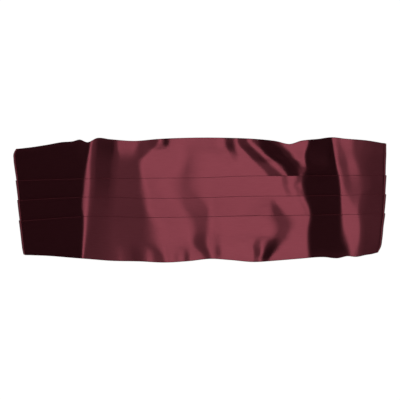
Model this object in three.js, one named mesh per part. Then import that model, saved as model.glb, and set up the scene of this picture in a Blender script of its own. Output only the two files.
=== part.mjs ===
// A pleated satin cummerbund, fastened at the back and laid flat on a surface with its front up.
// +X runs along the sash, +Y across it towards its upper edge, +Z up. The origin is the middle of
// the footprint, on the surface. Four folded strips of satin overlap like shingles, each lower one
// over the one above it. They run across the front, turn round both ends and taper underneath to
// a webbing strap on each side, which a flat clasp joins.
import * as THREE from "three";

// Driving sizes in millimetres.
const LENGTH = 393; // the closed loop laid flat, from end fold to end fold
const HEIGHT = 131; // the sash across its widest place
const CLOTH = 1.2; // one strip: satin folded double and pressed
const SEAM_GAP = 0.3; // between pieces that lie on each other
const FRONT_LIFT = 12.5; // middle of the front sheet over the surface, where it leaves the left end
const DENT_DEPTH = 5; // depth of a full dent in the front sheet
const END_BULGE = 5; // how far each end fold bulges past the sheets that it joins
const FLAP_REACH = 120; // how far each end of the sash runs back underneath
const FLAP_END_WIDTH = 36; // the sash where it is sewn to its strap
const FLAP_END_RISE = 14; // the middle of the flap's end over the middle of the sash
const STRAP_WIDTH = 25;
const STRAP_THICKNESS = 1.5;
const STRAP_LAP = 14; // how far a strap is sewn onto its flap
const STRAP_DROP = 10; // run in which a strap comes down from its flap to the surface
const STRAP_RETURN = 18; // the strap's sewn end, turned back round the clasp's bar
const CLASP_THICKNESS = 1.8;
const CLASP_BAR = 4; // width of the bars and sides
const CLASP_SLOT = 7; // the slots' width along the strap
const CLASP_MIDDLE = 6; // width of the middle bar
const CLASP_PLAY = 1; // slot length left over beside the strap, at each edge
const CLASP_CORNER = 3; // radius of the outer corners

const HALF_LENGTH = LENGTH / 2;
const HALF_HEIGHT = HEIGHT / 2;
const PLEAT_LIFT = CLOTH + SEAM_GAP; // a strip's folded edge over the strip beneath it
const BACK_LEVEL = CLOTH / 2 + PLEAT_LIFT; // middle of the sheet underneath, over the surface

// The sash's upper and lower edge as seen from the front. x is a share of HALF_LENGTH and y of
// HALF_HEIGHT. The edges are a little wavy, dip at the folds and fall off towards both ends.
const TOP_EDGE = [
  { x: -0.97, y: 0.821 },
  { x: -0.912, y: 0.84 },
  { x: -0.815, y: 0.883 },
  { x: -0.74, y: 0.922 },
  { x: -0.676, y: 0.938 },
  { x: -0.644, y: 0.963 },
  { x: -0.601, y: 0.92 },
  { x: -0.55, y: 0.987 },
  { x: -0.483, y: 0.97 },
  { x: -0.349, y: 0.944 },
  { x: -0.226, y: 0.976 },
  { x: -0.081, y: 0.994 },
  { x: 0.16, y: 0.994 },
  { x: 0.31, y: 0.974 },
  { x: 0.407, y: 0.941 },
  { x: 0.482, y: 0.895 },
  { x: 0.541, y: 0.947 },
  { x: 0.632, y: 0.973 },
  { x: 0.701, y: 1 },
  { x: 0.777, y: 0.978 },
  { x: 0.9, y: 0.947 },
  { x: 0.98, y: 0.908 },
];
const BOTTOM_EDGE = [
  { x: -0.914, y: -0.88 },
  { x: -0.815, y: -0.89 },
  { x: -0.686, y: -0.919 },
  { x: -0.59, y: -0.941 },
  { x: -0.483, y: -0.968 },
  { x: -0.322, y: -0.981 },
  { x: -0.188, y: -1 },
  { x: -0.054, y: -0.976 },
  { x: 0.053, y: -0.942 },
  { x: 0.16, y: -0.96 },
  { x: 0.289, y: -0.992 },
  { x: 0.407, y: -0.97 },
  { x: 0.535, y: -0.939 },
  { x: 0.664, y: -0.912 },
  { x: 0.739, y: -0.928 },
  { x: 0.787, y: -0.896 },
  { x: 0.835, y: -0.906 },
  { x: 0.889, y: -0.874 },
  { x: 0.959, y: -0.81 },
];

// The folded edges of the three lower strips, in the same shares.
const PLEAT_EDGES = [
  { x: -0.965, upper: 0.31, lower: -0.01, bottom: -0.345 },
  { x: -0.579, upper: 0.337, lower: 0.043, bottom: -0.267 },
  { x: -0.268, upper: 0.347, lower: 0.024, bottom: -0.284 },
  { x: 0.026, upper: 0.356, lower: 0.034, bottom: -0.273 },
  { x: 0.214, upper: 0.379, lower: 0.053, bottom: -0.262 },
  { x: 0.535, upper: 0.385, lower: 0.062, bottom: -0.249 },
  { x: 0.985, upper: 0.393, lower: 0.085, bottom: -0.225 },
];

// Where a line lies across the sash: 0 is the upper edge and 1 the lower edge.
const EDGE_AT = [0, 0.31, 0.47, 0.63, 1];
const TUCK = 0.067; // how far a strip runs on under the next one
const TUCK_RISE = (PLEAT_LIFT * TUCK) / (EDGE_AT[2] - EDGE_AT[1]); // a tucked edge over the sheet
const STRIP_ROWS = [5, 1, 1, 4]; // steps across each strip where it lies open

// Creases that cross the front sheet. at gives x, as a share of HALF_LENGTH, where the crease
// meets each place in CREASE_AT. rise is the front's slope to the right of the crease at the upper
// edge, riseLow at the lower edge, and round is how softly the sheet turns there, as a share of
// HALF_LENGTH. steps is the number of sections up to the next crease.
const CREASE_AT = [0, 0.2, 0.31, 0.47, 0.63, 0.8, 1];
const CREASES = [
  {
    at: [-0.995, -0.983, -0.973, -0.964, -0.958, -0.955, -0.943],
    rise: 0.19, riseLow: 0.19, round: 0.01, steps: 8,
  },
  {
    at: [-0.596, -0.609, -0.62, -0.625, -0.62, -0.62, -0.629],
    rise: 0, riseLow: 0, round: 0.01, steps: 1,
  },
  {
    at: [-0.564, -0.582, -0.59, -0.598, -0.598, -0.603, -0.618],
    rise: -0.2, riseLow: -0.18, round: 0.015, steps: 3,
  },
  {
    at: [-0.454, -0.457, -0.46, -0.465, -0.475, -0.481, -0.481],
    rise: -0.12, riseLow: -0.13, round: 0.04, steps: 7,
  },
  {
    at: [-0.337, -0.329, -0.318, -0.297, -0.24, -0.255, -0.289],
    rise: -0.01, riseLow: 0, round: 0.02, steps: 7,
  },
  {
    at: [-0.16, -0.128, -0.17, -0.107, -0.03, -0.016, 0.01],
    rise: 0, riseLow: -0.11, round: 0.03, steps: 4,
  },
  {
    at: [0, 0, 0, 0.027, 0.048, 0.053, 0.045],
    rise: 0.01, riseLow: 0.01, round: 0.02, steps: 33,
  },
  {
    at: [0.604, 0.577, 0.556, 0.556, 0.593, 0.583, 0.593],
    rise: 0.25, riseLow: 0.25, round: 0.012, steps: 5,
  },
  {
    at: [0.705, 0.729, 0.743, 0.751, 0.753, 0.765, 0.807],
    rise: 0, riseLow: 0, round: 0.01, steps: 2,
  },
  {
    at: [0.737, 0.753, 0.764, 0.796, 0.838, 0.838, 0.828],
    rise: -0.06, riseLow: -0.1, round: 0.01, steps: 3,
  },
  {
    at: [0.828, 0.834, 0.842, 0.85, 0.855, 0.857, 0.848],
    rise: -0.12, riseLow: -0.12, round: 0.02, steps: 2,
  },
  {
    at: [0.898, 0.908, 0.903, 0.887, 0.882, 0.882, 0.875],
    rise: -0.18, riseLow: -0.18, round: 0.03, steps: 4,
  },
  {
    at: [0.995, 0.987, 0.983, 0.979, 0.974, 0.97, 0.952],
    rise: 0, riseLow: 0, round: 0.01, steps: 0,
  },
];

// Dents in one strip of the front sheet, each a table of places from its upper to its lower end.
// The cloth falls over the width left, lies level over the width flat, which starts at x, and
// rises again over the width right. y is a share of HALF_HEIGHT, depth a share of DENT_DEPTH, and
// the others are shares of HALF_LENGTH. A negative depth makes a swell.
const DENTS = [
  {
    strip: 0,
    places: [
      { y: 0.99, x: 0.24, left: 0.032, flat: 0.045, right: 0.053, depth: 0.64 },
      { y: 0.8, x: 0.289, left: 0.053, flat: 0.043, right: 0.134, depth: 1 },
      { y: 0.64, x: 0.337, left: 0.064, flat: 0.04, right: 0.139, depth: 1 },
      { y: 0.35, x: 0.465, left: 0.102, flat: 0.021, right: 0.069, depth: 0.6 },
    ],
  },
  {
    strip: 0,
    places: [
      { y: 0.99, x: 0.165, left: 0.2, flat: 0, right: 0.06, depth: 0.3 },
      { y: 0.63, x: 0.2, left: 0.2, flat: 0, right: 0.04, depth: 0 },
    ],
  },
  {
    strip: 0,
    places: [
      { y: 0.99, x: -0.326, left: 0.123, flat: 0, right: 0.112, depth: -0.5 },
      { y: 0.75, x: -0.326, left: 0.064, flat: 0, right: 0.048, depth: -0.25 },
      { y: 0.67, x: -0.305, left: 0.043, flat: 0, right: 0.016, depth: 0 },
    ],
  },
  {
    strip: 2,
    places: [
      { y: 0, x: 0.39, left: 0.1, flat: 0, right: 0.02, depth: 0 },
      { y: -0.29, x: 0.4, left: 0.1, flat: 0, right: 0.06, depth: 0.4 },
    ],
  },
  {
    strip: 3,
    places: [
      { y: -0.55, x: 0.4, left: 0.06, flat: 0, right: 0.04, depth: 0 },
      { y: -0.7, x: 0.4, left: 0.055, flat: 0, right: 0.035, depth: -0.5 },
      { y: -0.96, x: 0.355, left: 0.04, flat: 0, right: 0.03, depth: -0.4 },
    ],
  },
];
const DENT_ROUND = 0.12; // how softly a dent turns, as a share of its width

// Sections along the end folds and flaps.
const FOLD_STEPS = 6;
const FLAP_STEPS = 4;
const FOLD_SHARE = 0.04; // share of the taper that the end fold takes

const satin = new THREE.MeshStandardMaterial({ color: 0x7a3142, roughness: 0.35, metalness: 0.4 });
const webbing = new THREE.MeshStandardMaterial({ color: 0x17131a, roughness: 0.85, metalness: 0 });
const nickel = new THREE.MeshStandardMaterial({ color: 0xb9b6b0, roughness: 0.3, metalness: 1 });

const { clamp, lerp } = THREE.MathUtils;

// The row of a table after which a place lies, counted from 0.
function rowBefore(rows, column, value) {
  const after = rows.findIndex((row) => row[column] > value);
  return after < 0 ? rows.length - 2 : clamp(after - 1, 0, rows.length - 2);
}

// A smooth curve through the rows of a table: the value of one column at one x.
function through(rows, column, x) {
  const last = rows.length - 1;
  const from = rowBefore(rows, "x", x);
  const slopeAt = (n) => {
    const before = rows[Math.max(n - 1, 0)];
    const after = rows[Math.min(n + 1, last)];
    return (after[column] - before[column]) / (after.x - before.x);
  };
  const span = rows[from + 1].x - rows[from].x;
  const t = clamp((x - rows[from].x) / span, 0, 1);
  const rise = rows[from + 1][column] - rows[from][column];
  const start = slopeAt(from) * span;
  const end = slopeAt(from + 1) * span;
  const bend = 3 * rise - 2 * start - end;
  return rows[from][column] + t * start + t * t * bend + t * t * t * (start + end - 2 * rise);
}

// Where a crease lies at one place across the sash, in millimetres.
function creaseX(crease, across) {
  const rows = CREASE_AT.map((place, i) => ({ x: place, value: crease.at[i] }));
  return HALF_LENGTH * through(rows, "value", across);
}

function riseAfter(crease, across) {
  return lerp(crease.rise, crease.riseLow, across);
}

// The front sheet starts and ends where the end folds begin to turn under.
function frontStart(across) {
  return creaseX(CREASES[0], across) + END_BULGE;
}

function frontEnd(across) {
  return creaseX(CREASES[CREASES.length - 1], across) - END_BULGE;
}

function guideX(number, across) {
  if (number === 0) return frontStart(across);
  if (number === CREASES.length - 1) return frontEnd(across);
  return creaseX(CREASES[number], across);
}

// The rise beyond a crease: none before it, straight after it, and round over the width between.
function softRise(distance, round) {
  return (distance + Math.hypot(distance, round)) / 2;
}

// Height of the middle of the front sheet over the surface.
function frontHeight(x, across) {
  let height = FRONT_LIFT + riseAfter(CREASES[0], across) * (x - frontStart(across));
  for (let i = 1; i < CREASES.length - 1; i += 1) {
    const turn = riseAfter(CREASES[i], across) - riseAfter(CREASES[i - 1], across);
    height += turn * softRise(x - creaseX(CREASES[i], across), CREASES[i].round * HALF_LENGTH);
  }
  return height;
}

// Depth of one strip's dents at a place on the front.
function dentDepth(strip, x, y) {
  let depth = 0;
  for (const { places } of DENTS.filter((dent) => dent.strip === strip)) {
    const down = places.map((place) => ({ ...place, down: -place.y }));
    const from = rowBefore(down, "down", -y / HALF_HEIGHT);
    const span = down[from + 1].down - down[from].down;
    const t = clamp((-y / HALF_HEIGHT - down[from].down) / span, 0, 1);
    const value = (column) => lerp(places[from][column], places[from + 1][column], t);
    const side = x / HALF_LENGTH - value("x");
    const past = Math.max(side - value("flat"), 0);
    const away = Math.hypot(side < 0 ? -side / value("left") : past / value("right"), DENT_ROUND);
    const share = 1 - away + DENT_ROUND;
    depth += DENT_DEPTH * value("depth") * softRise(share, DENT_ROUND);
  }
  return depth;
}

// y of the five lines across the sash where a section of the front crosses them.
function linesOnFront(xAt) {
  const share = (number) => xAt(EDGE_AT[number]) / HALF_LENGTH;
  return [
    through(TOP_EDGE, "y", share(0)),
    through(PLEAT_EDGES, "upper", share(1)),
    through(PLEAT_EDGES, "lower", share(2)),
    through(PLEAT_EDGES, "bottom", share(3)),
    through(BOTTOM_EDGE, "y", share(4)),
  ].map((y) => y * HALF_HEIGHT);
}

// y at one place across, straight between the five lines.
function yBetween(lines, across) {
  const n = clamp(EDGE_AT.findIndex((at) => at > across) - 1, 0, 3);
  const from = across >= 1 ? 3 : n;
  const t = (across - EDGE_AT[from]) / (EDGE_AT[from + 1] - EDGE_AT[from]);
  return lerp(lines[from], lines[from + 1], t);
}

// The five lines where a flap is sewn to its strap.
function flapEndLines() {
  return EDGE_AT.map((at) => FLAP_END_RISE + FLAP_END_WIDTH * (0.5 - at));
}

// A section of the front between two creases. Each section gives, for a place across the sash,
// the point on the middle of the sheet and the share in which the front's dents count.
function frontSection(number, t) {
  const next = Math.min(number + 1, CREASES.length - 1);
  const xAt = (across) => lerp(guideX(number, across), guideX(next, across), t);
  const lines = linesOnFront(xAt);
  return (across) => ({
    point: new THREE.Vector3(xAt(across), yBetween(lines, across), frontHeight(xAt(across), across)),
    dents: 1,
  });
}

// A section of an end fold, at a share of its turn, and of the flap behind it. side is -1 on the
// left and 1 on the right. The fold is a curve that leaves the front at the front's own slope.
function endSection(side, turn, run) {
  const edgeX = side < 0 ? frontStart : frontEnd;
  const flapEnd = side * (HALF_LENGTH - FLAP_REACH);
  const lines = linesOnFront(edgeX);
  const sewn = flapEndLines();
  const taper = lerp(FOLD_SHARE * turn, 1, run);
  const reach = (END_BULGE * 4) / 3;
  const rest = 1 - turn;
  const nearFront = 3 * turn * rest * rest;
  const nearBack = 3 * turn * turn * rest;
  return (across) => {
    const edge = edgeX(across);
    const top = frontHeight(edge, across);
    const step = HALF_LENGTH / 1000;
    const rise = (frontHeight(edge + step, across) - frontHeight(edge - step, across)) / (2 * step);
    const x = lerp(edge + side * reach * (nearFront + nearBack), flapEnd, run);
    const y = lerp(yBetween(lines, across), yBetween(sewn, across), taper);
    const high = rest ** 3 * top + nearFront * (top + side * reach * rise);
    const z = high + (nearBack + turn ** 3) * BACK_LEVEL;
    return { point: new THREE.Vector3(x, y, z), dents: 0 };
  };
}

// All sections in order: left flap, left fold, front, right fold, right flap.
function allSections() {
  const ends = [-1, 1].map((side) => {
    const list = [];
    for (let i = 1; i <= FOLD_STEPS; i += 1) list.push(endSection(side, i / FOLD_STEPS, 0));
    for (let i = 1; i <= FLAP_STEPS; i += 1) list.push(endSection(side, 1, i / FLAP_STEPS));
    return list;
  });
  const front = [];
  CREASES.forEach((crease, number) => {
    for (let i = 0; i < crease.steps; i += 1) front.push(frontSection(number, i / crease.steps));
  });
  front.push(frontSection(CREASES.length - 1, 0));
  return [...ends[0].reverse(), ...front, ...ends[1]];
}

const SECTIONS = allSections();

// Direction that faces out of the sheet, from its neighbours along and across.
function outward(number, across) {
  const step = 0.01;
  const before = SECTIONS[Math.max(number - 1, 0)](across).point;
  const after = SECTIONS[Math.min(number + 1, SECTIONS.length - 1)](across).point;
  const above = SECTIONS[number](Math.max(across - step, 0)).point;
  const below = SECTIONS[number](Math.min(across + step, 1)).point;
  return below.sub(above).cross(after.sub(before)).normalize();
}

// How far a strip's middle stands off the middle of the sheet: its folded edge lies on the strip
// above it, and its other edge runs on under the next strip. The top band lies flat up to there,
// and is tucked in at the lean of the strip over it.
function stripLift(strip, across) {
  const leaning = Math.max(strip, 1);
  const width = EDGE_AT[leaning + 1] - EDGE_AT[leaning];
  if (strip === 0) return PLEAT_LIFT * Math.min((EDGE_AT[1] - across) / width, 0);
  return PLEAT_LIFT * (1 - (across - EDGE_AT[strip]) / width);
}

// A strip's dents at a place. Under the next strip it also keeps clear of that strip's dents.
function stripDent(strip, across, point) {
  const own = dentDepth(strip, point.x, point.y);
  const under = across - EDGE_AT[strip + 1];
  if (under < 0 || strip === 3) return own;
  return Math.max(Math.min(own, own * (1 - under / TUCK)), dentDepth(strip + 1, point.x, point.y));
}

// Places across the sash at which a strip is built, from its folded edge to its hidden edge. The
// strip above has the same places where it is tucked under.
function rowsOf(strip) {
  const tuckEnd = strip === 0 ? 0 : EDGE_AT[strip] + TUCK;
  const rows = strip === 0 ? [] : [EDGE_AT[strip]];
  for (let i = 0; i <= STRIP_ROWS[strip]; i += 1) {
    rows.push(lerp(tuckEnd, EDGE_AT[strip + 1], i / STRIP_ROWS[strip]));
  }
  if (strip < 3) rows.push(EDGE_AT[strip + 1] + TUCK);
  return rows;
}

// One strip as a closed band: the outer face, the inner face, and a round nose along both edges.
function stripGeometry(strip) {
  const rows = rowsOf(strip);
  const around = 2 * rows.length + 2;
  const positions = [];
  SECTIONS.forEach((section, number) => {
    const outer = [];
    const inner = [];
    for (const across of rows) {
      const { point, dents } = section(across);
      const out = outward(number, across);
      const stand = stripLift(strip, across) - dents * stripDent(strip, across, point);
      outer.push(point.clone().addScaledVector(out, stand + CLOTH / 2));
      inner.push(point.clone().addScaledVector(out, stand - CLOTH / 2));
    }
    const nose = (edge, next) => {
      const middle = outer[edge].clone().add(inner[edge]).multiplyScalar(0.5);
      const towards = outer[edge].clone().sub(outer[next]).normalize();
      return middle.addScaledVector(towards, CLOTH / 2);
    };
    const lowNose = nose(rows.length - 1, rows.length - 2);
    for (const p of [nose(0, 1), ...outer, lowNose, ...inner.reverse()]) positions.push(p.x, p.y, p.z);
  });
  const indices = [];
  const quad = (a, b, c, d) => indices.push(a, b, c, a, c, d);
  for (let s = 0; s + 1 < SECTIONS.length; s += 1) {
    for (let i = 0; i < around; i += 1) {
      const j = (i + 1) % around;
      const [a, b] = [s * around + i, s * around + j];
      // The inner face is split along the same diagonals as the outer one, so strips nest.
      if (i > rows.length + 1) quad(b, b + around, a + around, a);
      else quad(a, b, b + around, a + around);
    }
  }
  const end = (SECTIONS.length - 1) * around;
  for (let i = 1; i < rows.length; i += 1) {
    const other = around - i;
    quad(i, other, other - 1, i + 1);
    quad(end + i, end + i + 1, end + other - 1, end + other);
  }
  indices.push(0, around - 1, 1, end, end + 1, end + around - 1);
  const low = rows.length + 1;
  indices.push(low, low - 1, low + 1, end + low, end + low + 1, end + low - 1);
  const geometry = new THREE.BufferGeometry();
  geometry.setAttribute("position", new THREE.Float32BufferAttribute(positions, 3));
  geometry.setIndex(indices);
  geometry.computeVertexNormals();
  return geometry;
}

// Sizes of the clasp and of what passes round it.
const claspHalf = CLASP_MIDDLE / 2 + CLASP_SLOT + CLASP_BAR;
const barMiddle = claspHalf - CLASP_BAR / 2;
const claspBottom = STRAP_THICKNESS + SEAM_GAP;
const slotLength = STRAP_WIDTH + 2 * CLASP_PLAY;

function corners(list) {
  return list.map(([x, y]) => new THREE.Vector2(x, y));
}

// A quarter of a circle, as corners, from the angle given in degrees.
function arc(x, y, radius, from) {
  return [0, 1, 2, 3, 4].map((i) => {
    const angle = THREE.MathUtils.degToRad(from + i * 22.5);
    return [x + radius * Math.cos(angle), y + radius * Math.sin(angle)];
  });
}

function roundedRectangle(middle, halfX, halfY, radius) {
  const right = middle + halfX - radius;
  const left = middle - halfX + radius;
  return corners([
    ...arc(right, radius - halfY, radius, -90),
    ...arc(right, halfY - radius, radius, 0),
    ...arc(left, halfY - radius, radius, 90),
    ...arc(left, radius - halfY, radius, 180),
  ]);
}

// A strap seen from the lower edge of the sash, drawn from its sewn end at negative x to its loop
// round the clasp's bar. side is -1 for the left strap and 1 for the right one, which is turned.
function strapGeometry(side) {
  const lapLow = BACK_LEVEL + CLOTH / 2 + TUCK_RISE + SEAM_GAP;
  const lapStart = -(HALF_LENGTH - FLAP_REACH) - STRAP_LAP;
  const lapEnd = lapStart + STRAP_LAP + SEAM_GAP;
  const dropEnd = lapEnd + STRAP_DROP;
  const holeHigh = claspBottom + CLASP_THICKNESS + SEAM_GAP;
  const holeHalf = CLASP_BAR / 2 + SEAM_GAP;
  const loopHigh = holeHigh + STRAP_THICKNESS;
  const meet = -barMiddle - holeHalf - (holeHigh - STRAP_THICKNESS) * 2.5;
  const seam = meet - STRAP_RETURN;
  const loopEnd = -barMiddle + holeHalf;
  const round = STRAP_THICKNESS;

  const outline = new THREE.Shape(corners([
    [lapStart, lapLow],
    [lapEnd, lapLow],
    [dropEnd, 0],
    ...arc(loopEnd, round, round, -90),
    ...arc(loopEnd, loopHigh - round, round, 0),
    [-barMiddle - holeHalf, loopHigh],
    [meet, 2 * STRAP_THICKNESS],
    [seam, 2 * STRAP_THICKNESS],
    [seam, STRAP_THICKNESS],
    [dropEnd, STRAP_THICKNESS],
    [lapEnd, lapLow + STRAP_THICKNESS],
    [lapStart, lapLow + STRAP_THICKNESS],
  ]));
  outline.holes.push(new THREE.Path(corners([
    [meet, 1.5 * STRAP_THICKNESS],
    [-barMiddle - holeHalf, holeHigh],
    [loopEnd, holeHigh],
    [loopEnd, STRAP_THICKNESS],
    [meet + STRAP_THICKNESS, STRAP_THICKNESS],
  ])));

  const geometry = new THREE.ExtrudeGeometry(outline, {
    depth: STRAP_WIDTH,
    bevelEnabled: false,
  });
  geometry.translate(0, 0, -STRAP_WIDTH / 2);
  geometry.rotateX(Math.PI / 2);
  if (side > 0) geometry.rotateZ(Math.PI);
  return geometry;
}

// The clasp: a flat plate with a slot for each strap and a bar between.
function claspGeometry() {
  const plate = new THREE.Shape(roundedRectangle(0, claspHalf, slotLength / 2 + CLASP_BAR, CLASP_CORNER));
  for (const side of [-1, 1]) {
    const middle = side * (CLASP_MIDDLE + CLASP_SLOT) * 0.5;
    const slot = roundedRectangle(middle, CLASP_SLOT / 2, slotLength / 2, CLASP_CORNER / 4);
    plate.holes.push(new THREE.Path(slot));
  }
  return new THREE.ExtrudeGeometry(plate, { depth: CLASP_THICKNESS, bevelEnabled: false });
}

function named(name, geometry, material) {
  const mesh = new THREE.Mesh(geometry, material);
  mesh.name = name;
  return mesh;
}

const cummerbund = new THREE.Group();
cummerbund.name = "cummerbund";

["top_band", "upper_pleat", "lower_pleat", "bottom_band"].forEach((name, strip) => {
  cummerbund.add(named(name, stripGeometry(strip), satin));
});

// The straps and the clasp lie together behind the middle of the flaps' ends.
const fastening = new THREE.Group();
fastening.position.y = FLAP_END_RISE;
fastening.add(named("left_strap", strapGeometry(-1), webbing));
fastening.add(named("right_strap", strapGeometry(1), webbing));
const clasp = named("clasp", claspGeometry(), nickel);
clasp.position.z = claspBottom;
fastening.add(clasp);
cummerbund.add(fastening);

export default cummerbund;
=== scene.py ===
"""A pleated satin cummerbund, fastened at the back and laid flat on its back with its front up."""

import math

import bpy
import numpy as np
from mathutils import Matrix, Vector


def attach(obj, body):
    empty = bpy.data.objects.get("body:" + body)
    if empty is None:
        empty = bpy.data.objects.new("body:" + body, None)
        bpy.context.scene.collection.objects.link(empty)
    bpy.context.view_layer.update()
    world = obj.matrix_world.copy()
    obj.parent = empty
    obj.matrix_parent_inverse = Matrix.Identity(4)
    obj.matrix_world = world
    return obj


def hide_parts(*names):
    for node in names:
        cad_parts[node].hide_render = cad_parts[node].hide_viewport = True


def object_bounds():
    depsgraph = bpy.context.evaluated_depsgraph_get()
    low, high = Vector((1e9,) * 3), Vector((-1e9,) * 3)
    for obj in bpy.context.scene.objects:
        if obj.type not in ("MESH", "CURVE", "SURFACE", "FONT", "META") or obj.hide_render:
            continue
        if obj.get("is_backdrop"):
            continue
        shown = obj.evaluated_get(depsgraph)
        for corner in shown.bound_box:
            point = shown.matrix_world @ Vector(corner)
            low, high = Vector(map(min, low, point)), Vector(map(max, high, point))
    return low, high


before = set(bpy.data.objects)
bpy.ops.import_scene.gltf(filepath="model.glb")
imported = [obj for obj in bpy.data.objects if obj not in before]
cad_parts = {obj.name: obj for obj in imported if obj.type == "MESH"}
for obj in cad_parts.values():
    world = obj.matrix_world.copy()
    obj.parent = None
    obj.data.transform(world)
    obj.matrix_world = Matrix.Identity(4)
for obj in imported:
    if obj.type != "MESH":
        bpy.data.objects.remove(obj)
low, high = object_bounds()

# The camera looks straight down on the front, with the sash's upper edge at the top of the picture.
# It stands far off, so that the sash is seen almost square on from end to end.
CAMERA_HEIGHT = 3.0
PICTURE_WIDTH = 0.42  # what the picture takes in from side to side at the front's own height
camera_data = bpy.data.cameras.new("camera")
camera = bpy.data.objects.new("camera", camera_data)
bpy.context.scene.collection.objects.link(camera)
camera.location = (0, 0, CAMERA_HEIGHT)
camera_data.lens = camera_data.sensor_width * (CAMERA_HEIGHT - 0.7 * high.z) / PICTURE_WIDTH
camera_data.clip_end = 20
bpy.context.scene.camera = camera

# The four strips. Each is burgundy satin cut along its length, folded double and pressed flat. They
# overlap like shingles, each folded upper edge lying on the strip above it. They run across the
# front, turn under at both ends and taper to the straps.
CLOTH = 0.0008  # one strip, folded double
SEAM_GAP = 0.0001  # between strips that lie on each other
PLEAT_LIFT = CLOTH + SEAM_GAP
FRONT_LIFT = 0.0125  # middle of the front over the floor, where it leaves the left end
END_BULGE = 0.0025
FLAP_REACH = 0.12
FLAP_END_WIDTH = 0.036
FLAP_END_RISE = 0.014
FOLD_SHARE = 0.04  # share of the flap's taper that its end fold takes
half_length = 0.1965
half_height = 0.0655
back_level = CLOTH / 2 + PLEAT_LIFT

# Places across the sash: 0 is its upper edge and 1 its lower edge.
STRIP_EDGES = [0, 0.31, 0.47, 0.63, 1]
TUCK = 0.067  # how far a strip runs on under the next one
tuck_rise = PLEAT_LIFT * TUCK / (STRIP_EDGES[2] - STRIP_EDGES[1])

# Edges of the sash and of its strips, seen from the front, in shares of its half length and half
# height.
TOP_EDGE = {
    "x": [-0.97, -0.912, -0.815, -0.74, -0.676, -0.644, -0.601, -0.55, -0.483, -0.349, -0.226,
          -0.081, 0.16, 0.31, 0.407, 0.482, 0.541, 0.632, 0.701, 0.777, 0.9, 0.98],
    "y": [0.821, 0.84, 0.883, 0.922, 0.938, 0.963, 0.92, 0.987, 0.97, 0.944, 0.976,
          0.994, 0.994, 0.974, 0.941, 0.895, 0.947, 0.973, 1, 0.978, 0.947, 0.908],
}
BOTTOM_EDGE = {
    "x": [-0.914, -0.815, -0.686, -0.59, -0.483, -0.322, -0.188, -0.054, 0.053, 0.16,
          0.289, 0.407, 0.535, 0.664, 0.739, 0.787, 0.835, 0.889, 0.92, 0.959],
    "y": [-0.88, -0.89, -0.919, -0.941, -0.968, -0.981, -1, -0.976, -0.942, -0.96,
          -0.992, -0.97, -0.939, -0.912, -0.928, -0.896, -0.906, -0.876, -0.862, -0.83],
}
PLEAT_EDGES = {
    "x": [-0.965, -0.579, -0.268, 0.026, 0.214, 0.535, 0.985],
    "upper": [0.31, 0.337, 0.347, 0.356, 0.379, 0.385, 0.393],
    "lower": [-0.01, 0.043, 0.024, 0.034, 0.053, 0.062, 0.085],
    "bottom": [-0.345, -0.267, -0.284, -0.273, -0.262, -0.249, -0.225],
}

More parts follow.
